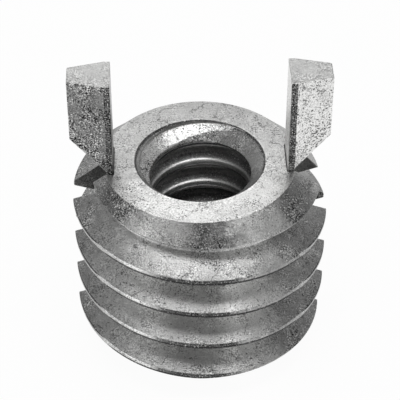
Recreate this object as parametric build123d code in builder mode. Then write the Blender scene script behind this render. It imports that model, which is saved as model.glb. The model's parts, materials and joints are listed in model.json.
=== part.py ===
from build123d import *

import math
import os

from build123d.topology import SkipClean

# A key-locking threaded insert, 3/8-16 outside and No. 10-24 inside, 0.31 in long. It stands on
# its lower end: the origin is the centre of that face, +Z runs up the bore and the two locking
# keys lie along X. Lengths are in millimetres and angles in degrees.

# Body
body_diameter = 9.525  # crest of the outer thread
body_length = 7.874
end_chamfer = 1.19  # 45 degree chamfer round each end
mouth_angle = 90  # included angle of the bore's countersinks
mouth_margin = 0.017  # of the upper countersink's edge, outside the inner thread's root
lower_mouth_depth = 0.26  # deburring countersink in the lower face
blank_sectors = 4  # that the body's blank is made of, whose seams split its faces

# Threads
flank_angle = 30  # of each flank, from square to the axis
left_handed = True  # both threads
groove_overshoot = 0.05  # of a pitch, by which a groove's cutter passes the crest
outer_pitch = 25.4 / 16
outer_start = 33  # azimuth where the groove's centre line crosses the upper face
outer_depth_share = 17 / 24  # of the sharp V's height, as inch screws have it
outer_root_share = 1 / 6  # of the pitch, flat at the root
inner_diameter = 4.826  # root of the inner thread
inner_pitch = 25.4 / 24
inner_start = 52
inner_depth_share = 5 / 8  # as inch nuts have it
inner_root_share = 1 / 8

# Locking keys and their dovetail slots
key_length = 7.62
key_standing = 3.937  # how far a key stands above the upper face before it is driven
key_recess = 0.03  # of a key's outer face inside the crest of the outer thread
key_foot_width = 1.58  # across the parallel foot that runs in the slot
key_foot_depth = 0.235  # of that foot, along the radius
key_flank_angle = 14.4  # of the dovetail flanks, from the radius
key_nose_height = 1.395  # of the outer face's lower end above the upper face, before driving
key_nose_angle = 45
slot_wall = 0.752  # between the inner thread's root and a slot's floor
slot_clearance = 0.03  # round a key in its slot

# Worked out from the sizes above
body_radius = body_diameter / 2
end_face_radius = body_radius - end_chamfer
outer_sharp_height = outer_pitch / 2 / math.tan(math.radians(flank_angle))
inner_sharp_height = inner_pitch / 2 / math.tan(math.radians(flank_angle))
outer_root_radius = body_radius - outer_sharp_height * outer_depth_share
outer_root_flat = outer_pitch * outer_root_share
inner_root_radius = inner_diameter / 2
inner_crest_radius = inner_root_radius - inner_sharp_height * inner_depth_share
inner_root_flat = inner_pitch * inner_root_share
mouth_slope = math.tan(math.radians(mouth_angle / 2))
mouth_radius = inner_root_radius + mouth_margin
mouth_depth = (mouth_radius - inner_crest_radius) / mouth_slope
lower_mouth_radius = inner_crest_radius + lower_mouth_depth * mouth_slope
turn_up = -1 if left_handed else 1  # sense of the threads' turn about +Z on the way up
slot_floor = inner_root_radius + slot_wall
key_inner_face = slot_floor + slot_clearance
key_outer_face = body_radius - key_recess
key_shoulder = key_inner_face + key_foot_depth
key_top = body_length + key_standing
key_bottom = key_top - key_length
key_nose = body_length + key_nose_height

os.makedirs("parts", exist_ok=True)


def dovetail_plan(inner, shoulder, outer, half_foot):
    """Plan of a key or a slot on the +X side: a parallel foot, then flanks that close outwards."""
    half_outer = half_foot - (outer - shoulder) * math.tan(math.radians(key_flank_angle))
    with BuildLine() as outline:
        Polyline(
            (inner, -half_foot),
            (shoulder, -half_foot),
            (outer, -half_outer),
            (outer, half_outer),
            (shoulder, half_foot),
            (inner, half_foot),
            close=True,
        )
    return outline.line


def groove_turn(root_radius, crest_radius, root_flat, pitch):
    """One turn of the air in a V thread, from azimuth 0 round to azimuth 0, at height 0.

    A trapezium is swept along a helix. It is as wide as the root's flat at the root and opens at
    the flank angle, to just past the crest.
    """
    open_radius = crest_radius + math.copysign(pitch * groove_overshoot, crest_radius - root_radius)
    flare = abs(open_radius - root_radius) * math.tan(math.radians(flank_angle))
    with BuildPart() as turn:
        with BuildLine() as path:
            Helix(pitch, pitch, root_radius, lefthand=left_handed)
        with BuildSketch(Plane.XZ):
            with BuildLine():
                Polyline(
                    (root_radius, -root_flat / 2),
                    (open_radius, -root_flat / 2 - flare),
                    (open_radius, root_flat / 2 + flare),
                    (root_radius, root_flat / 2),
                    close=True,
                )
            make_face()
        sweep(path=path.line, is_frenet=True)
    return turn.part


def turn_places(pitch, start):
    """Where each turn of a groove begins, from below the lower face to above the upper one."""
    at_top = body_length - turn_up * pitch * start / 360
    first = (at_top - pitch / 2) % pitch - 1.5 * pitch
    turns = math.ceil((body_length + pitch / 2 - first) / pitch)
    return [(0, 0, first + turn * pitch) for turn in range(turns)]


outer_turn = groove_turn(outer_root_radius, body_radius, outer_root_flat, outer_pitch)
inner_turn = groove_turn(inner_root_radius, inner_crest_radius, inner_root_flat, inner_pitch)

# The body is turned from bar: a revolved section with the bore and both countersinks, then the
# two threads, and last the slots that are broached through the outer thread from end to end. The
# blank is revolved in equal sectors whose seams stay, so that a face along a thread's crest is a
# short arc that lies nearly level, as a wall does.
with BuildPart() as sector:
    with BuildSketch(Plane.XZ):
        with BuildLine():
            Polyline(
                (lower_mouth_radius, 0),
                (end_face_radius, 0),
                (body_radius, end_chamfer),
                (body_radius, body_length - end_chamfer),
                (end_face_radius, body_length),
                (mouth_radius, body_length),
                (inner_crest_radius, body_length - mouth_depth),
                (inner_crest_radius, lower_mouth_depth),
                close=True,
            )
        make_face()
    revolve(axis=Axis.Z, revolution_arc=360 / blank_sectors)

with SkipClean(), BuildPart() as insert_body:
    with PolarLocations(0, blank_sectors):
        add(sector.part)
    with Locations(*turn_places(outer_pitch, outer_start)):
        add(outer_turn, clean=False, mode=Mode.SUBTRACT)
    with Locations(*turn_places(inner_pitch, inner_start)):
        add(inner_turn, clean=False, mode=Mode.SUBTRACT)
    with BuildSketch():
        with BuildLine():
            add(
                dovetail_plan(
                    slot_floor,
                    key_shoulder,
                    body_radius + end_chamfer,
                    key_foot_width / 2 + slot_clearance,
                )
            )
        make_face()
        mirror(about=Plane.YZ)
    extrude(amount=body_length, clean=False, mode=Mode.SUBTRACT)

insert_body.part.label = "insert_body"
export_step(insert_body.part, "parts/insert_body.step")

# A key is a dovetail bar. Its lower end is cut back at an angle from the outer face to the
# shoulder, so that only the parallel foot stands in the slot until the key is driven.
with BuildPart() as right_key:
    with BuildSketch(Plane.XY.offset(key_bottom)):
        with BuildLine():
            add(dovetail_plan(key_inner_face, key_shoulder, key_outer_face, key_foot_width / 2))
        make_face()
    extrude(amount=key_length)
    nose_drop = (key_outer_face - key_shoulder) * math.tan(math.radians(key_nose_angle))
    with BuildSketch(Plane.XZ):
        with BuildLine():
            Polyline(
                (key_shoulder, key_bottom),
                (key_outer_face + key_recess, key_bottom),
                (key_outer_face + key_recess, key_nose),
                (key_outer_face, key_nose),
                (key_shoulder, key_nose - nose_drop),
                close=True,
            )
        make_face()
    extrude(amount=key_foot_width, both=True, mode=Mode.SUBTRACT)

with BuildPart() as left_key:
    add(right_key.part.mirror(Plane.YZ))

for key, name in ((left_key, "left_key"), (right_key, "right_key")):
    key.part.label = name
    export_step(key.part, f"parts/{name}.step")
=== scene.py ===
import json
import math

import bmesh
import bpy
import numpy as np
from bpy.props import FloatProperty, FloatVectorProperty, IntProperty, PointerProperty
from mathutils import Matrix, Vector


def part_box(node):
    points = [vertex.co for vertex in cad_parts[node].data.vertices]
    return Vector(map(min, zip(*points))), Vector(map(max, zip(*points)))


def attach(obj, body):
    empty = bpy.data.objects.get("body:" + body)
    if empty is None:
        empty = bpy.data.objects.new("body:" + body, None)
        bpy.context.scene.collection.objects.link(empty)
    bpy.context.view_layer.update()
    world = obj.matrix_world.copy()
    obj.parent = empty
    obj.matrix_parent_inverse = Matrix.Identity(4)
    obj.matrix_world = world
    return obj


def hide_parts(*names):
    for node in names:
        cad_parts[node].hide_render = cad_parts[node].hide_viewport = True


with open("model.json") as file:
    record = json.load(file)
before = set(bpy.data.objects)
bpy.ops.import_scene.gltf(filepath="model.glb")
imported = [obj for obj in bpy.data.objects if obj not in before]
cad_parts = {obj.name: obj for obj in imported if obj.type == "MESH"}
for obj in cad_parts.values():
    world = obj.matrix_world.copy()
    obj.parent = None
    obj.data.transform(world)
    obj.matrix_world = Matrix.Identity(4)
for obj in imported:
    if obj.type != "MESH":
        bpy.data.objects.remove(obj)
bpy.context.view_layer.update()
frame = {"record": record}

bl_info = {
    "name": "Key-locking insert",
    "version": (1, 0, 0),
    "blender": (4, 5, 0),
    "location": "3D View > Sidebar > Insert",
    "description": "Builds the looks of a key-locking threaded insert round its packed CAD parts",
    "category": "Add Mesh",
}

MM = 0.001
BODY_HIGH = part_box("insert_body")[1]
KEY_LOW, KEY_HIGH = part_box("right_key")

# The threads' shape, as in the CAD source
FLANK_ANGLE = math.radians(30)  # of each flank, from square to the axis
OUTER_DEPTH_SHARE = 17 / 24  # of the sharp V's height
OUTER_ROOT_SHARE = 1 / 6  # of the pitch, flat at the root
INNER_ROOT_SHARE = 1 / 8

# How the cutters and the meshes are made
FLARE_ANGLE = math.radians(70)  # at which a groove's cutter opens past the crest
OVERSHOOT = 0.1 * MM  # of that flare, past the crest
OUTER_REACH = 1.5 * MM  # of the outer groove's cutter, past both ends of the body
INNER_REACH = 1.1 * MM
BODY_CORNER_STEPS = 4  # points in each rounded corner
GROOVE_CORNER_STEPS = 5
SHARP_ANGLE = math.radians(24)  # between faces that are shaded with an edge between them
BEVEL_ANGLE = math.radians(10)  # from which a key's edge is rounded


def mount_radius(name):
    """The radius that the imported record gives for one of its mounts, in metres."""
    mount = next(m for m in frame["record"]["mounts"] if m["name"] == name)
    return mount["dims"]["r_mm"] * MM


def length_property(name, description, default):
    return FloatProperty(
        name=name, description=description, default=default, min=0.0, unit="LENGTH", precision=6
    )


def angle_property(name, description, degrees):
    return FloatProperty(
        name=name, description=description, default=math.radians(degrees), unit="ROTATION"
    )


def colour_property(name, description, default):
    return FloatVectorProperty(
        name=name, description=description, default=default, subtype="COLOR", min=0.0, max=1.0
    )


class InsertSizes(bpy.types.PropertyGroup):
    """Sizes of the insert, as in its CAD source, and the rounding that only its looks have."""

    length: length_property("Length", "Body between its end faces", BODY_HIGH.z)
    crest_radius: length_property(
        "Outer crest radius", "Over the outer thread", mount_radius("outer_thread")
    )
    end_chamfer: length_property("End chamfer", "45 degree chamfer round each end", 1.19 * MM)
    outer_pitch: length_property("Outer pitch", "Pitch of the outer thread", 25.4 / 16 * MM)
    outer_start: angle_property("Outer start", "Where the outer groove crosses the upper face", 33)
    bore_crest_radius: length_property(
        "Bore radius", "Inside the inner thread", mount_radius("inner_thread")
    )
    bore_root_radius: length_property("Bore root radius", "Root of the inner thread", 2.413 * MM)
    inner_pitch: length_property("Inner pitch", "Pitch of the inner thread", 25.4 / 24 * MM)
    inner_start: angle_property("Inner start", "Where the inner groove crosses the upper face", 52)
    mouth_radius: length_property("Mouth radius", "Countersink in the upper face", 2.43 * MM)
    lower_mouth_radius: length_property(
        "Lower mouth radius", "Countersink in the lower face", 2.1 * MM
    )
    edge_round: length_property(
        "Edge round", "Rounding that handling has left on the edges", 0.03 * MM
    )
    bore_edge_round: length_property(
        "Bore edge round", "Rounding of the inner thread's crest", 0.09 * MM
    )
    root_round: length_property("Root round", "Rounding in the roots of the threads", 0.08 * MM)
    columns: IntProperty(name="Columns", description="Steps round one turn", default=384, min=48)


class KeySizes(bpy.types.PropertyGroup):
    """Sizes of the locking keys and of their slots, as in the CAD source."""

    foot_width: length_property("Foot width", "Across the parallel foot in the slot", 1.58 * MM)
    foot_depth: length_property("Foot depth", "Of that foot, along the radius", 0.235 * MM)
    flank_angle: angle_property("Flank angle", "Of the dovetail flanks, from the radius", 14.4)
    nose_height: length_property(
        "Nose height", "Outer face's lower end above the body", 1.395 * MM
    )
    clearance: length_property("Clearance", "Round a key in its slot", 0.03 * MM)
    edge_round: length_property("Edge round", "Rounding on the keys' edges", 0.03 * MM)


class SteelLooks(bpy.types.PropertyGroup):
    """Colours of the worn steel, which also paint its light: the etched colour is the painted shade
    too, the bright colour the painted highlights too.
    """

    etched: colour_property("Etched", "Where the surface is etched dark", (0.02, 0.02, 0.02))
    bright: colour_property("Bright", "Where it is rubbed bright", (0.92, 0.92, 0.91))


class StageSettings(bpy.types.PropertyGroup):
    """Where the camera stands."""

    elevation: angle_property("Elevation", "Camera above the horizon", 40.24)
    turn: angle_property("Turn", "Camera's turn round the insert from its front", 1.76)
    distance: length_property("Distance", "Camera from the point it looks at", 60.97 * MM)
    target_height: length_property(
        "Target height", "Of the point that the camera looks at", 5.902 * MM
    )
    lens: FloatProperty(
        name="Lens", description="Focal length on a 36 mm wide frame, in mm", default=145.34
    )


# The greys of each kind of face, as (place, grey) stops. They give the steel's worn and etched tone
# and, for the most part, painted light: painted highlights where the lamps glint, and painted shade
# under the crests, in the bore's roots and deep in the bore. around: round the axis, with the left
# at
# 0.25, the front at 0.5 and the back at 0 and 1. across: by the distance from the axis, over
# ACROSS_SPAN. down: by the height, over DOWN_SPAN. rise: up one pitch of the outer thread, from
# the middle of a groove.
BODY_WEAR_AND_PAINTED_LIGHT = {
    # Painted light and shade round the axis, with the radius and with the height: painted
    # highlights where the lamps glint on the flanks and painted shade between them
    "thread": {
        "grain": 0.3,
        "pits": 0.44,
        "around": [
            (0.0, 0.42), (0.25, 0.36), (0.3, 0.36), (0.35, 0.52), (0.41, 0.65), (0.47, 0.48),
            (0.51, 0.48), (0.55, 0.8), (0.59, 0.7), (0.63, 0.34), (0.69, 0.36), (0.75, 0.36),
            (0.8, 0.4), (1.0, 0.42),
        ],
        "across": [(0.76, 1.0), (0.86, 0.86), (0.94, 0.72)],
        "down": [(0.1, 0.85), (0.5, 1.0), (0.61, 0.9), (0.7, 0.82)],
    },
    # A painted sheen, brightest at the front left, and painted highlights along the mouth's rim and
    # the outer rim
    "end_face": {
        "grain": 0.2,
        "pits": 0.6,
        "around": [
            (0.0, 0.44), (0.2, 0.48), (0.3, 0.46), (0.35, 0.62), (0.41, 0.8), (0.5, 0.76),
            (0.62, 0.67), (0.7, 0.55), (0.8, 0.48), (1.0, 0.44),
        ],
        "across": [(0.494, 1.0), (0.504, 0.86), (0.69, 0.86), (0.71, 1.0)],
    },
    # Dark etched patches, with painted highlights between them where the lamps glint
    "chamfer": {
        "grain": 0.34,
        "pits": 0.3,
        "around": [
            (0.0, 0.3), (0.28, 0.26), (0.33, 0.12), (0.37, 0.2), (0.42, 0.55), (0.46, 0.42),
            (0.5, 0.13), (0.53, 0.22), (0.565, 0.75), (0.61, 0.55), (0.65, 0.14), (0.69, 0.2),
            (0.74, 0.4), (1.0, 0.3),
        ],
    },
    # Painted light on the outer crests: painted shade at the front middle, a painted highlight at
    # the front left, and a painted highlight line up each pitch that lies lower towards the sides
    "crest": {
        "grain": 0.3,
        "pits": 0.3,
        "around": [
            (0.0, 0.5), (0.28, 0.5), (0.34, 0.5), (0.38, 0.62), (0.42, 0.92), (0.455, 0.1),
            (0.53, 0.08), (0.56, 0.42), (0.6, 0.34), (0.66, 0.46), (0.75, 0.5),
        ],
        "rise": [(0.49, 0.1), (0.505, 1.0), (0.61, 1.0), (0.625, 0.06)],
    },
    # Painted shade on the faces under the outer crests, darkest at the front
    "lip": {
        "grain": 0.4,
        "pits": 0.2,
        "around": [(0.0, 0.3), (0.3, 0.4), (0.37, 0.03), (0.62, 0.03), (0.69, 0.4), (1.0, 0.3)],
    },
    # Painted shade under the bore's crests
    "bore_lip": {"grain": 0.2, "pits": 0.1, "around": [(0.0, 0.06), (1.0, 0.06)]},
    # Painted light on the countersink: darker at the back, a painted highlight along the mouth's
    # rim and a painted dark line just inside it
    "countersink": {
        "grain": 0.3,
        "pits": 0.4,
        "around": [
            (0.0, 0.22), (0.1, 0.28), (0.2, 0.38), (0.27, 0.42), (0.5, 0.4), (0.7, 0.42),
            (0.8, 0.32), (0.9, 0.27), (1.0, 0.22),
        ],
        "across": [(0.466, 1.0), (0.475, 0.3), (0.484, 0.25)],
    },
    # A painted highlight on the first upward flank inside the mouth, brightest towards the back
    # left
    "mouth_flank": {
        "grain": 0.52,
        "pits": 0.66,
        "around": [
            (0.0, 0.56), (0.08, 0.64), (0.12, 0.6), (0.16, 0.62), (0.25, 0.5), (0.8, 0.5),
            (0.92, 0.62), (1.0, 0.56),
        ],
    },
    # Painted light in the bore: painted highlights on the crests, painted shade in the roots,
    # brighter at the back than at the front, and painted shade deep down
    "bore": {
        "grain": 0.14,
        "pits": 0.1,
        "around": [
            (0.0, 1.0), (0.12, 0.9), (0.25, 0.9), (0.5, 0.7), (0.8, 0.45), (0.9, 0.7), (1.0, 1.0),
        ],
        "across": [
            (0.368, 1.0), (0.374, 0.9), (0.383, 0.6), (0.394, 0.22), (0.41, 0.14), (0.43, 0.16),
            (0.45, 0.34), (0.48, 0.6),
        ],
        "down": [(0.42, 0.2), (0.47, 1.0)],
    },
}
ACROSS_SPAN = 5.0  # mm
DOWN_SPAN = 10.0  # mm


def key_wear_and_painted_light(side, end, foot, inner):
    """The grain, pits and two greys of one key's four kinds of face; the greys, at the back and the
    front, are painted light and shade.
    """
    kinds = {"side": side, "end": end, "foot": foot, "inner": inner}
    return {
        kind: {"grain": grain, "pits": pits, "around": [(0.0, back), (0.5, front)]}
        for kind, (grain, pits, back, front) in kinds.items()
    }


# The keys' greys are painted light: the right key's sides and inner face lit bright towards the
# front, the left key's in painted shade, and the feet painted dark. Grain and pits are the steel's
# own.
KEY_WEAR_AND_PAINTED_LIGHT = {
    "left": key_wear_and_painted_light(
        side=(0.62, 0.5, 0.25, 0.23), end=(0.3, 0.2, 0.38, 0.38),
        foot=(1.0, 0.4, 0.11, 0.11), inner=(0.2, 0.1, 0.5, 0.5),
    ),
    "right": key_wear_and_painted_light(
        side=(0.34, 0.62, 0.4, 0.9), end=(0.3, 0.2, 0.4, 0.4),
        foot=(1.0, 0.4, 0.11, 0.11), inner=(0.2, 0.1, 0.9, 0.9),
    ),
}

# A key's faces, as corners that key_bar numbers, and the kind of each
KEY_FACES = (
    ((0, 1, 2, 3, 4, 5), "end"),
    ((10, 13, 12, 11), "side"),
    ((0, 5, 13, 10), "inner"),
    ((0, 10, 11, 8, 1), "foot"),
    ((5, 4, 9, 12, 13), "foot"),
    ((1, 8, 6, 2), "side"),
    ((4, 3, 7, 9), "side"),
    ((2, 6, 7, 3), "side"),
    ((8, 9, 7, 6), "side"),
    ((8, 11, 12, 9), "side"),
)


def rounded_corners(corners, radii, steps):
    """Rounds the corners of a closed outline.

    Each corner P, with points S and E on its two sides at radius * tan(turn / 2) from it, becomes
    the curve (1-u)^2 S + 2u(1-u) P + u^2 E, for u from 0 to 1.
    """
    before = corners - np.roll(corners, 1, axis=0)
    after = np.roll(corners, -1, axis=0) - corners
    before /= np.linalg.norm(before, axis=1, keepdims=True)
    after /= np.linalg.norm(after, axis=1, keepdims=True)
    turn = np.arccos(np.clip((before * after).sum(axis=1), -1, 1))
    reach = (radii * np.tan(turn / 2))[:, None]
    start, end = corners - before * reach, corners + after * reach
    u = np.linspace(0, 1, steps)[None, :, None]
    curve = (1 - u) ** 2 * start[:, None] + 2 * u * (1 - u) * corners[:, None] + u**2 * end[:, None]
    kept = np.where(radii > 0, steps, 1)
    return curve.reshape(-1, 2)[(np.arange(steps)[None, :] < kept[:, None]).ravel()]


def grid_faces(rows, columns, rows_closed):
    """Four-sided faces between points numbered row by row, where each row is a closed ring."""
    r = np.arange(rows if rows_closed else rows - 1)[:, None]
    c = np.arange(columns)[None, :]
    r1, c1 = (r + 1) % rows, (c + 1) % columns
    quads = [r * columns + c, r * columns + c1, r1 * columns + c1, r1 * columns + c]
    return np.stack([np.broadcast_to(q, (len(r), columns)) for q in quads], axis=-1).reshape(-1, 4)


def mesh_object(name, points, faces):
    mesh = bpy.data.meshes.new(name)
    mesh.from_pydata(points.tolist(), [], [list(map(int, face)) for face in faces])
    mesh.validate()
    made = bpy.data.objects.new(name, mesh)
    bpy.context.scene.collection.objects.link(made)
    return made


def turned(outline, columns, name):
    """An outline of (radius, height) points, closed, turned about Z.

    Point (i, j) is (r_i cos a_j, r_i sin a_j, z_i), where a_j goes once round.
    """
    azimuth = np.linspace(0, 2 * np.pi, columns, endpoint=False)
    r, z = outline[:, :1], outline[:, 1:]
    points = np.stack([r * np.cos(azimuth), r * np.sin(azimuth), z + 0 * azimuth], axis=-1)
    return mesh_object(name, points.reshape(-1, 3), grid_faces(len(outline), columns, True))


def groove(outline, pitch, azimuth_at_top, top, reach, columns, name):
    """The air in a thread: its outline of (radius, offset) points carried along a left-hand helix.

    At azimuth a, counted from where the helix crosses the height top, point (i, a) is at
    (r_i cos a, r_i sin a, top - pitch (a - azimuth_at_top) / (2 pi) + offset_i). The helix runs
    from reach above the top to reach below height 0.
    """
    first = azimuth_at_top - 2 * np.pi * reach / pitch
    last = azimuth_at_top + 2 * np.pi * (top + reach) / pitch
    steps = int(math.ceil((last - first) / (2 * np.pi) * columns))
    azimuth = np.linspace(first, last, steps)[:, None]
    r, offset = outline[:, 0][None], outline[:, 1][None]
    height = top - pitch * (azimuth - azimuth_at_top) / (2 * np.pi) + offset
    points = np.stack([r * np.cos(azimuth), r * np.sin(azimuth), height], axis=-1)
    count = len(outline)
    faces = list(grid_faces(steps, count, False))
    faces.append(np.arange(count))
    faces.append(np.arange(count) + (steps - 1) * count)
    return mesh_object(name, points.reshape(-1, 3), faces)


def groove_outline(root, crest, flat, root_round, crest_round):
    """Outline of a thread's air, as (radius, offset): a flat root, two flanks, then the flare.

    The corner at the crest turns halfway towards the crest's flat, so that it is rounded too.
    """
    way = np.sign(crest - root)
    slope = math.tan(FLANK_ANGLE)
    half_crest = flat / 2 + abs(crest - root) * slope
    flare = math.tan(FLARE_ANGLE)
    side = np.array(
        [
            (root, flat / 2),
            (crest - way * crest_round * 0.5, half_crest - crest_round * 0.5 * slope),
            (crest + way * OVERSHOOT, half_crest + (OVERSHOOT + crest_round * 0.5) * flare),
        ]
    )
    corners = np.concatenate([side[::-1] * (1, -1), side])
    radii = np.array([0, crest_round, root_round, root_round, crest_round, 0])
    return rounded_corners(corners, radii, GROOVE_CORNER_STEPS)


def cut(blank, cutters):
    """Takes the cutters' space out of the blank, one after another, and removes the cutters."""
    for cutter in cutters:
        step = blank.modifiers.new("cut", "BOOLEAN")
        step.operation = "DIFFERENCE"
        step.solver = "MANIFOLD"
        step.object = cutter
    graph = bpy.context.evaluated_depsgraph_get()
    mesh = bpy.data.meshes.new_from_object(blank.evaluated_get(graph))
    blank.modifiers.clear()
    old, blank.data = blank.data, mesh
    bpy.data.meshes.remove(old)
    for cutter in cutters:
        data = cutter.data
        bpy.data.objects.remove(cutter)
        bpy.data.meshes.remove(data)


def outward(made):
    """Turns a closed mesh's faces outwards."""
    work = bmesh.new()
    work.from_mesh(made.data)
    bmesh.ops.remove_doubles(work, verts=work.verts, dist=1e-9)
    bmesh.ops.recalc_face_normals(work, faces=work.faces)
    work.to_mesh(made.data)
    work.free()


def dovetail_plan(inner, shoulder, outer, half_foot, keys):
    """Six (x, y) points on the +X side: a parallel foot, then flanks that close outwards."""
    half_outer = half_foot - (outer - shoulder) * math.tan(keys.flank_angle)
    plan = np.array([(inner, -half_foot), (shoulder, -half_foot), (outer, -half_outer)])
    return np.concatenate([plan, plan[::-1] * (1, -1)])


def slot_prism(side, sizes, keys, name):
    """A slot's space: the dovetail plan drawn on +X or -X, carried along Z past both ends."""
    floor = KEY_LOW.x - keys.clearance
    shoulder = KEY_LOW.x + keys.foot_depth
    outer = sizes.crest_radius + sizes.end_chamfer
    plan = dovetail_plan(floor, shoulder, outer, keys.foot_width / 2 + keys.clearance, keys)
    plan = plan * (side, 1)
    count = len(plan)
    low = np.column_stack([plan, np.full(count, -sizes.end_chamfer)])
    high = np.column_stack([plan, np.full(count, sizes.length + sizes.end_chamfer)])
    ends = [np.arange(count), np.arange(count) + count]
    made = mesh_object(name, np.concatenate([low, high]), [*grid_faces(2, count, False), *ends])
    outward(made)
    return made


def finish_body(body, sizes):
    """Gives each kind of face its own worn steel with its painted light and shade, by where its
    middle lies and which way it faces.

    up is 1 where a face looks up, 0 where it looks sideways and -1 where it looks down. A later
    kind takes the faces that an earlier one also fits.
    """
    mesh = body.data
    count = len(mesh.polygons)
    centre, normal = np.empty(count * 3), np.empty(count * 3)
    mesh.polygons.foreach_get("center", centre)
    mesh.polygons.foreach_get("normal", normal)
    x, y, z = centre.reshape(-1, 3).T
    up = normal.reshape(-1, 3)[:, 2]
    r, near, first_turn = np.hypot(x, y), 0.015 * MM, 0.9 * MM
    face = sizes.crest_radius - sizes.end_chamfer
    below = sizes.length - z
    on_chamfer = (np.abs(r - below - face) < near) | (np.abs(r - z - face) < near)
    outermost = r > sizes.crest_radius - sizes.edge_round
    inside = r < sizes.mouth_radius - near / 2
    innermost = r < sizes.bore_crest_radius + sizes.bore_edge_round
    kinds = {
        "crest": outermost & (np.abs(up) < 0.8),
        "lip": outermost & (up < -0.3),
        "chamfer": on_chamfer & (r > face),
        "end_face": (np.abs(up) > 0.98) & ((z < near) | (below < near)),
        "bore": inside,
        "bore_lip": innermost & (up < -0.15),
        "mouth_flank": inside & (up > 0.3) & (below < first_turn),
        "countersink": inside & (np.abs(r + below - sizes.mouth_radius) < near),
    }
    names = list(BODY_WEAR_AND_PAINTED_LIGHT)
    index = np.zeros(count, np.int32)
    for name, chosen in kinds.items():
        index[chosen] = names.index(name)
    mesh.materials.clear()
    for name, face_looks in BODY_WEAR_AND_PAINTED_LIGHT.items():
        mesh.materials.append(worn_steel_with_painted_light(name + "_steel", **face_looks))
    mesh.polygons.foreach_set("material_index", index)


class INSERT_OT_body(bpy.types.Operator):
    """Build the threaded body with its bore, its two threads and the slots for the keys"""

    bl_idname = "insert.body"
    bl_label = "Threaded body"

    def execute(self, context):
        s, keys = context.scene.insert_sizes, context.scene.insert_keys
        face = s.crest_radius - s.end_chamfer
        outline = np.array(
            [
                (s.lower_mouth_radius, 0),
                (face, 0),
                (s.crest_radius, s.end_chamfer),
                (s.crest_radius, s.length - s.end_chamfer),
                (face, s.length),
                (s.mouth_radius, s.length),
                (s.bore_crest_radius, s.length - (s.mouth_radius - s.bore_crest_radius)),
                (s.bore_crest_radius, s.lower_mouth_radius - s.bore_crest_radius),
            ]
        )
        edges = np.full(len(outline), s.edge_round)
        outline = rounded_corners(outline, edges, BODY_CORNER_STEPS)
        body = turned(outline, s.columns, "threaded_body")
        outward(body)
        outer_depth = OUTER_DEPTH_SHARE * s.outer_pitch / 2 / math.tan(FLANK_ANGLE)
        outer = groove_outline(
            s.crest_radius - outer_depth, s.crest_radius, s.outer_pitch * OUTER_ROOT_SHARE,
            s.root_round, s.edge_round,
        )
        inner = groove_outline(
            s.bore_root_radius, s.bore_crest_radius, s.inner_pitch * INNER_ROOT_SHARE,
            s.root_round / 2, s.bore_edge_round,
        )
        cutters = [
            groove(
                outer, s.outer_pitch, s.outer_start, s.length, OUTER_REACH, s.columns,
                "outer_groove",
            ),
            groove(
                inner, s.inner_pitch, s.inner_start, s.length, INNER_REACH, s.columns * 3 // 4,
                "inner_groove",
            ),
        ]
        for cutter in cutters:
            outward(cutter)
        cutters += [slot_prism(side, s, keys, "slot") for side in (-1, 1)]
        cut(body, cutters)
        body.data.polygons.foreach_set("use_smooth", np.ones(len(body.data.polygons), bool))
        body.data.set_sharp_from_angle(angle=SHARP_ANGLE)
        finish_body(body, s)
        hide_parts("insert_body")
        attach(body, "body")
        return {"FINISHED"}


def key_bar(side, sizes, keys, name):
    """A locking key: fourteen corners, worked out on the +X side and mirrored for the -X side.

    Its plan of six points stands at the top. Below, the outer pair ends at the nose, the
    shoulder pair where the nose's slope meets the shoulder, and the foot's four at the bottom.
    """
    inner, outer = KEY_LOW.x, KEY_HIGH.x
    shoulder = inner + keys.foot_depth
    nose = sizes.length + keys.nose_height
    plan = dovetail_plan(inner, shoulder, outer, keys.foot_width / 2, keys)
    rows = [
        (plan, KEY_HIGH.z),
        (plan[2:4], nose),
        (plan[[1, 4]], nose - (outer - shoulder)),
        (plan[[0, 1, 4, 5]], KEY_LOW.z),
    ]
    points = np.concatenate([np.column_stack([row, np.full(len(row), z)]) for row, z in rows])
    made = mesh_object(name, points * (side, 1, 1), [face for face, kind in KEY_FACES])
    outward(made)
    return made


class INSERT_OT_keys(bpy.types.Operator):
    """Build the two locking keys"""

    bl_idname = "insert.keys"
    bl_label = "Locking keys"

    def execute(self, context):
        s, keys = context.scene.insert_sizes, context.scene.insert_keys
        for side, body in ((-1, "left"), (1, "right")):
            bar = key_bar(side, s, keys, body + "_key_bar")
            round_over = bar.modifiers.new("round_over", "BEVEL")
            round_over.width = keys.edge_round
            round_over.segments = 3
            round_over.limit_method = "ANGLE"
            round_over.angle_limit = BEVEL_ANGLE
            # Each kind of key face gets steel with its grain and pits and its painted light and
            # shade
            looks_by_kind = KEY_WEAR_AND_PAINTED_LIGHT[body]
            for name, face_looks in looks_by_kind.items():
                bar.data.materials.append(worn_steel_with_painted_light(f"{body}_key_{name}_steel", **face_looks))
            index = [list(looks_by_kind).index(kind) for face, kind in KEY_FACES]
            bar.data.polygons.foreach_set("material_index", index)
            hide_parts(body + "_key")
            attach(bar, body)
        return {"FINISHED"}


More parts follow.
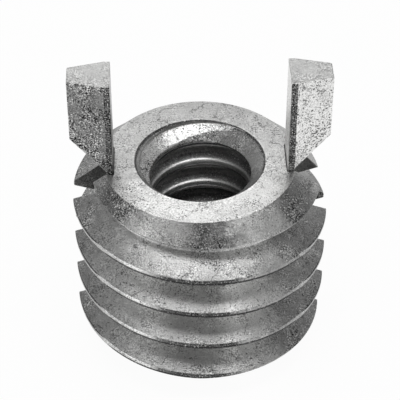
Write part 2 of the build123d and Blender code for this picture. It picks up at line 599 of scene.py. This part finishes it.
# The worn steel's noises: scale per millimetre, detail and roughness. Where an area is named,
# the noise says in which places its pattern shows.
NOISES = {
    "patches": (0.7, 6.0, 0.75),
    "scratch_areas": (0.9, 2.0, 0.6),
    "cracks": (1.0, 4.0, 0.55),
    "pit_areas": (1.1, 3.0, 0.7),
    "grain_areas": (1.3, 2.0, 0.6),
    "stir": (1.6, 4.0, 0.75),
    "crack_areas": (1.7, 2.0, 0.6),
    "mottle": (3.2, 6.0, 0.8),
    "pits": (16.0, 3.0, 0.6),
    "speckle": (19.0, 2.0, 0.6),
}
STIR_REACH = 1.8  # mm, by how much the stir bends the borders between the greys
DROP = 0.11  # of a pitch, by which the crests' painted highlight line lies lower towards the sides
SCRATCH_TURNS = ((0.3, 0.5, 0.9), (1.2, 0.2, 2.3))  # of the two sets of scratches, in radians
SCRATCH_STRETCH = (0.45, 11.0, 11.0)  # of their cells: long along a scratch, narrow across it
EDGE_REACH = 0.05 * MM  # how wide an edge is rubbed bright, partly worn and partly a painted highlight
BUMP_DEPTH = 0.012 * MM
TURN_AT_X = 0.75  # what Nodes.turn gives on +X, from where azimuths count

# How strongly each pattern shows
EVEN_GRAIN = 0.5
ETCHED_GRAIN = 1.7  # more than that, where the steel is etched
SCRATCH_LIGHT = 0.3
FLECK_LIGHT = 1.5
# Brightening along the edges: rubbed steel and a painted highlight
EDGE_LIGHT = 0.9
CRACK_DEPTH = 0.75
MARK_DARKNESS = 0.88  # of the pits
ROUGHNESS = 0.34
ETCHED_ROUGHNESS = 0.16  # more than that, where the steel is etched


class Nodes:
    """Adds nodes to a material or a world and links what they are given."""

    def __init__(self, owner):
        owner.use_nodes = True
        self.tree = owner.node_tree
        self.tree.nodes.clear()

    def add(self, kind, inputs=None, output=0, **settings):
        """A node's output. Its inputs are a socket, a number or a colour, by name or place."""
        node = self.tree.nodes.new(kind)
        for name, value in settings.items():
            setattr(node, name, value)
        for name, value in (inputs or {}).items():
            if isinstance(value, bpy.types.NodeSocket):
                self.tree.links.new(value, node.inputs[name])
            else:
                node.inputs[name].default_value = value
        return node.outputs[output] if node.outputs else None

    def math(self, operation, first, second=0.0, third=0.0):
        return self.add("ShaderNodeMath", {0: first, 1: second, 2: third}, operation=operation)

    def plus(self, first, second):
        return self.math("ADD", first, second)

    def minus(self, first, second):
        return self.math("SUBTRACT", first, second)

    def times(self, first, second, added=None):
        """first * second, with a third value added where there is one."""
        if added is None:
            return self.math("MULTIPLY", first, second)
        return self.math("MULTIPLY_ADD", first, second, added)

    def away(self, value, middle):
        """How far a value is from the middle."""
        return self.math("ABSOLUTE", self.minus(value, middle))

    def vector(self, operation, *values, output=0):
        inputs = dict(enumerate(values))
        return self.add("ShaderNodeVectorMath", inputs, output, operation=operation)

    def mix(self, share, first, second):
        """Mixes two colours. The sockets 6, 7 and 2 are the ones for colours."""
        inputs = {0: share, 6: first, 7: second}
        return self.add("ShaderNodeMix", inputs, 2, data_type="RGBA")

    def span(self, value, low, high, to_low=0.0, to_high=1.0):
        """Carries low..high smoothly to to_low..to_high."""
        inputs = {
            "Value": value, "From Min": low, "From Max": high, "To Min": to_low, "To Max": to_high
        }
        return self.add("ShaderNodeMapRange", inputs, interpolation_type="SMOOTHSTEP")

    def noise(self, place, name, output=0):
        scale, detail, roughness = NOISES[name]
        inputs = {"Vector": place, "Scale": scale, "Detail": detail, "Roughness": roughness}
        return self.add("ShaderNodeTexNoise", inputs, output)

    def parts(self, vector):
        node = self.tree.nodes.new("ShaderNodeSeparateXYZ")
        self.tree.links.new(vector, node.inputs[0])
        return node.outputs

    def turn(self, x, y):
        """The part of a turn round the axis, counted from the back by way of the left."""
        angle = self.math("ARCTAN2", x, self.times(y, -1.0))
        return self.times(angle, 1 / (2 * math.pi), 0.5)

    def ramp(self, value, stops):
        """A grey that goes through the (place, grey) stops."""
        node = self.tree.nodes.new("ShaderNodeValToRGB")
        node.color_ramp.interpolation = "EASE"
        points = node.color_ramp.elements
        while len(points) < len(stops):
            points.new(0.5)
        for point, (place, grey) in zip(points, stops):
            point.position = place
            point.color = (grey, grey, grey, 1)
        self.tree.links.new(value, node.inputs[0])
        return node.outputs[0]


def painted_light_and_wear_tone(n, place, around, across, down, rise):
    """The grey that the stops give at a place in millimetres, before any grain: the steel's worn
    tone together with painted highlights and shade.
    """
    # Painted light and shade round the axis, with the steel's tone, their borders bent by the stir
    # noise
    stir = n.vector("SUBTRACT", n.noise(place, "stir", "Color"), (0.5, 0.5, 0.5))
    stirred = n.parts(n.vector("MULTIPLY_ADD", stir, (STIR_REACH,) * 3, place))
    tone = n.ramp(n.turn(stirred[0], stirred[1]), around)
    x, y, z = n.parts(place)
    # Painted light that changes with the distance from the axis, such as highlights on the rims and
    # the bore's crests and shade in its roots
    if across:
        radius = n.math("SQRT", n.plus(n.times(x, x), n.times(y, y)))
        tone = n.times(tone, n.ramp(n.math("DIVIDE", radius, ACROSS_SPAN), across))
    # Painted light that changes with the height, such as painted shade deep in the bore
    if down:
        tone = n.times(tone, n.ramp(n.math("DIVIDE", z, DOWN_SPAN), down))
    # A painted highlight line along each outer crest, up one pitch, lying lower towards the sides
    # by DROP
    if rise:
        sizes = bpy.context.scene.insert_sizes
        start = -sizes.length / sizes.outer_pitch - TURN_AT_X - sizes.outer_start / (2 * math.pi)
        height = n.times(z, MM / sizes.outer_pitch, start)
        height = n.math("FRACT", n.plus(height, n.turn(x, y)))
        drop = n.span(n.away(n.turn(x, y), 0.5), 0.12, 0.17, 0.0, DROP)
        tone = n.times(tone, n.ramp(n.plus(height, drop), rise))
    return tone


def etch_marks(n, place, tone, pits):
    """How deep the etching is: 1 in a pit, up to CRACK_DEPTH in a hairline crack, 0 elsewhere.

    The pits gather in some areas, and there are more of them where the steel is bright.
    """
    field = n.times(tone, -0.07, n.noise(place, "pits"))
    field = n.times(n.minus(n.noise(place, "pit_areas"), 0.5), 0.3, field)
    low = 0.28 + 0.12 * pits
    pit = n.span(field, low - 0.02, low + 0.015, 1.0, 0.0)
    crack = n.span(n.away(n.noise(place, "cracks"), 0.5), 0.0, 0.013, 1.0, 0.0)
    crack = n.times(crack, n.span(n.noise(place, "crack_areas"), 0.47, 0.57))
    return n.math("MAXIMUM", pit, n.times(crack, min(CRACK_DEPTH, 1.8 * pits)))


def scratches(n, place):
    """1 along fine scratches that run in two directions, in some areas, and 0 elsewhere."""
    lines = []
    for turn in SCRATCH_TURNS:
        inputs = {"Vector": place, "Rotation": turn, "Scale": SCRATCH_STRETCH}
        stretched = n.add("ShaderNodeMapping", inputs, vector_type="POINT")
        cells = n.add("ShaderNodeTexVoronoi", {"Vector": stretched, "Scale": 1.0})
        lines.append(n.span(cells, 0.1, 0.3, 1.0, 0.0))
    return n.times(n.math("MAXIMUM", *lines), n.span(n.noise(place, "scratch_areas"), 0.48, 0.6))


def worn_steel_with_painted_light(name, around, grain, pits, across=None, down=None, rise=None):
    """Worn, etched steel, whose grey also paints light and shade on it. Where the grey is dark, the
    surface is etched rough and speckled.

    around, across, down and rise: the stops of the grey, the steel's tone and its painted
    highlights and
    shade. grain: how strong the mottling is. pits: how many etch pits there are.
    """
    material = bpy.data.materials.new(name)
    n = Nodes(material)
    looks = bpy.context.scene.insert_looks
    place = n.add("ShaderNodeTexCoord", output="Object")
    place = n.vector("MULTIPLY", place, (1 / MM,) * 3)
    tone = painted_light_and_wear_tone(n, place, around, across, down, rise)
    patches = n.noise(place, "patches")
    mottle = n.noise(place, "mottle")
    speckle = n.noise(place, "speckle")

    # Coarse and fine grain, strongest where the grey is dark: in etched patches and in painted
    # shade
    etched = n.span(n.plus(tone, n.span(patches, 0.3, 0.7, 0.12, -0.12)), 0.12, 0.34, 1.0, 0.25)
    strength = n.times(etched, ETCHED_GRAIN * grain, EVEN_GRAIN * grain)
    strength = n.times(strength, n.span(n.noise(place, "grain_areas"), 0.38, 0.62, 0.35, 1.25))
    mottled = n.span(mottle, 0.3, 0.7, -0.8, 0.8)
    rough_grain = n.plus(mottled, n.span(speckle, 0.36, 0.64, -1.2, 1.2))
    tone = n.times(tone, n.times(strength, rough_grain, 1.0))
    tone = n.times(tone, n.span(patches, 0.34, 0.68, 0.88, 1.1))

    # Light flecks and scratches, edges rubbed bright and lit as a painted highlight, then dark pits
    # and cracks
    flecks = n.times(n.span(speckle, 0.61, 0.68), n.span(etched, 0.3, 0.8))
    dark = etch_marks(n, place, tone, pits)
    scratch = scratches(n, place)
    rounded = n.add("ShaderNodeBevel", {"Radius": EDGE_REACH}, samples=4)
    flat = n.add("ShaderNodeNewGeometry", output="Normal")
    meet = n.vector("DOT_PRODUCT", rounded, flat, output="Value")
    # The edge mask: a painted highlight along the edges, partly rubbed steel, mottled
    edge = n.times(n.span(meet, 0.90, 0.995, 1.0, 0.0), n.span(mottle, 0.4, 0.6, 0.2, 1.0))
    tone = n.times(tone, n.times(scratch, SCRATCH_LIGHT, 1.0))
    tone = n.times(flecks, FLECK_LIGHT * grain, tone)
    tone = n.times(n.times(edge, tone), EDGE_LIGHT, tone)
    tone = n.times(tone, n.times(dark, -MARK_DARKNESS, 1.0))
    tone = n.math("MINIMUM", n.math("MAXIMUM", tone, 0.0), 1.0)
    # From the etched colour, also the painted shade, to the bright one, also the painted highlights
    colour = n.mix(tone, (*looks.etched, 1), (*looks.bright, 1))

    rough = n.times(etched, ETCHED_ROUGHNESS, ROUGHNESS)
    rough = n.times(n.minus(mottle, 0.5), 0.3, rough)
    height = n.times(n.times(rough_grain, etched), 0.35, n.times(mottle, 0.5))
    height = n.times(dark, -1.0, n.times(scratch, -0.4, height))
    bumps = {"Height": height, "Strength": 0.5, "Distance": BUMP_DEPTH, "Normal": rounded}
    normal = n.add("ShaderNodeBump", bumps)
    steel = {"Base Color": colour, "Metallic": 1.0, "Roughness": rough, "Normal": normal}
    n.add("ShaderNodeOutputMaterial", {"Surface": n.add("ShaderNodeBsdfPrincipled", steel)})
    return material


# Soft boxes round the insert: name, place and size in millimetres, power in watts
LAMPS = (
    ("overhead_box", (4, -20, 120), (86, 40), 0.056),
    ("back_box", (-20, 110, 105), (120, 40), 0.04),
    ("left_box", (-120, -60, 60), (60, 60), 0.03),
)
BACKDROP = [(0.0, 0.9), (0.25, 0.75), (0.5, 0.45), (1.0, 0.4)]  # (height, grey) of the world
WHITE = (1, 1, 1, 1)
FLOOR_GREY = (0.8, 0.8, 0.8, 1)
FLOOR_GLOW = 0.95  # share of the floor that shows white, where the rest takes the shadow
FLOOR_CORNERS = np.array([(-1.0, -1.0, 0.0), (1.0, -1.0, 0.0), (1.0, 1.0, 0.0), (-1.0, 1.0, 0.0)])


def seen_rays(n):
    """1 for rays from the camera, and for those that a metal or glass surface mirrors."""
    path = n.tree.nodes.new("ShaderNodeLightPath")
    seen = n.math("MAXIMUM", path.outputs["Is Camera Ray"], path.outputs["Is Glossy Ray"])
    return n.math("MAXIMUM", seen, path.outputs["Is Transmission Ray"])


def white_floor():
    """Shows white to the camera and in the metal, and keeps a soft share of the shadow."""
    material = bpy.data.materials.new("white_floor")
    n = Nodes(material)
    lit = n.add("ShaderNodeBsdfDiffuse", {"Color": FLOOR_GREY})
    white = n.add("ShaderNodeEmission", {"Color": WHITE, "Strength": 1.0})
    share = n.times(seen_rays(n), FLOOR_GLOW)
    surface = n.add("ShaderNodeMixShader", {0: share, 1: lit, 2: white})
    n.add("ShaderNodeOutputMaterial", {"Surface": surface})
    return material


def studio_world():
    """White backdrop low down, a dimmer ceiling above it; the camera sees white all round."""
    world = bpy.data.worlds.new("studio")
    n = Nodes(world)
    way = n.add("ShaderNodeTexCoord", output="Generated")
    grey = n.ramp(n.add("ShaderNodeSeparateXYZ", {0: way}, "Z"), BACKDROP)
    colour = n.mix(n.add("ShaderNodeLightPath", output="Is Camera Ray"), grey, WHITE)
    n.add("ShaderNodeOutputWorld", {"Surface": n.add("ShaderNodeBackground", {"Color": colour})})
    return world


class INSERT_OT_stage(bpy.types.Operator):
    """Set the floor, the lamps and the camera"""

    bl_idname = "insert.stage"
    bl_label = "Stage"

    def execute(self, context):
        settings = context.scene.insert_stage
        floor = mesh_object("floor", FLOOR_CORNERS, [(0, 1, 2, 3)])
        floor.data.materials.append(white_floor())
        context.scene.world = studio_world()
        for name, place, size, power in LAMPS:
            lamp = bpy.data.lights.new(name, "AREA")
            lamp.shape = "RECTANGLE"
            lamp.size, lamp.size_y = (side * MM for side in size)
            lamp.energy = power
            stand = bpy.data.objects.new(name, lamp)
            stand.location = Vector(place) * MM
            stand.rotation_euler = Vector(place).to_track_quat("Z", "Y").to_euler()
            context.scene.collection.objects.link(stand)
        target = Vector((0, 0, settings.target_height))
        back = Vector(
            (
                -math.cos(settings.elevation) * math.sin(settings.turn),
                -math.cos(settings.elevation) * math.cos(settings.turn),
                math.sin(settings.elevation),
            )
        )
        lens = bpy.data.cameras.new("camera")
        lens.lens = settings.lens
        lens.sensor_width = 36
        lens.clip_start = MM
        lens.clip_end = 10
        camera = bpy.data.objects.new("camera", lens)
        camera.location = target + back * settings.distance
        camera.rotation_euler = back.to_track_quat("Z", "Y").to_euler()
        context.scene.collection.objects.link(camera)
        context.scene.camera = camera
        context.scene.view_settings.view_transform = "Standard"
        return {"FINISHED"}


class INSERT_PT_panel(bpy.types.Panel):
    """Lists the insert's pieces and its settings"""

    bl_idname = "INSERT_PT_panel"
    bl_label = "Key-locking insert"
    bl_space_type = "VIEW_3D"
    bl_region_type = "UI"
    bl_category = "Insert"

    def draw(self, context):
        for step in STEPS:
            self.layout.operator(step.bl_idname)
        for group, settings in GROUPS.items():
            for name in settings.__annotations__:
                self.layout.prop(getattr(context.scene, group), name)


GROUPS = {
    "insert_sizes": InsertSizes,
    "insert_keys": KeySizes,
    "insert_looks": SteelLooks,
    "insert_stage": StageSettings,
}
STEPS = (INSERT_OT_body, INSERT_OT_keys, INSERT_OT_stage)


def register():
    for name, group in GROUPS.items():
        bpy.utils.register_class(group)
        setattr(bpy.types.Scene, name, PointerProperty(type=group))
    for step in (*STEPS, INSERT_PT_panel):
        bpy.utils.register_class(step)


def unregister():
    for step in (INSERT_PT_panel, *reversed(STEPS)):
        bpy.utils.unregister_class(step)
    for name, group in reversed(GROUPS.items()):
        delattr(bpy.types.Scene, name)
        bpy.utils.unregister_class(group)


def main():
    register()
    bpy.ops.insert.body()
    bpy.ops.insert.keys()
    bpy.ops.insert.stage()


if __name__ == "__main__":
    main()
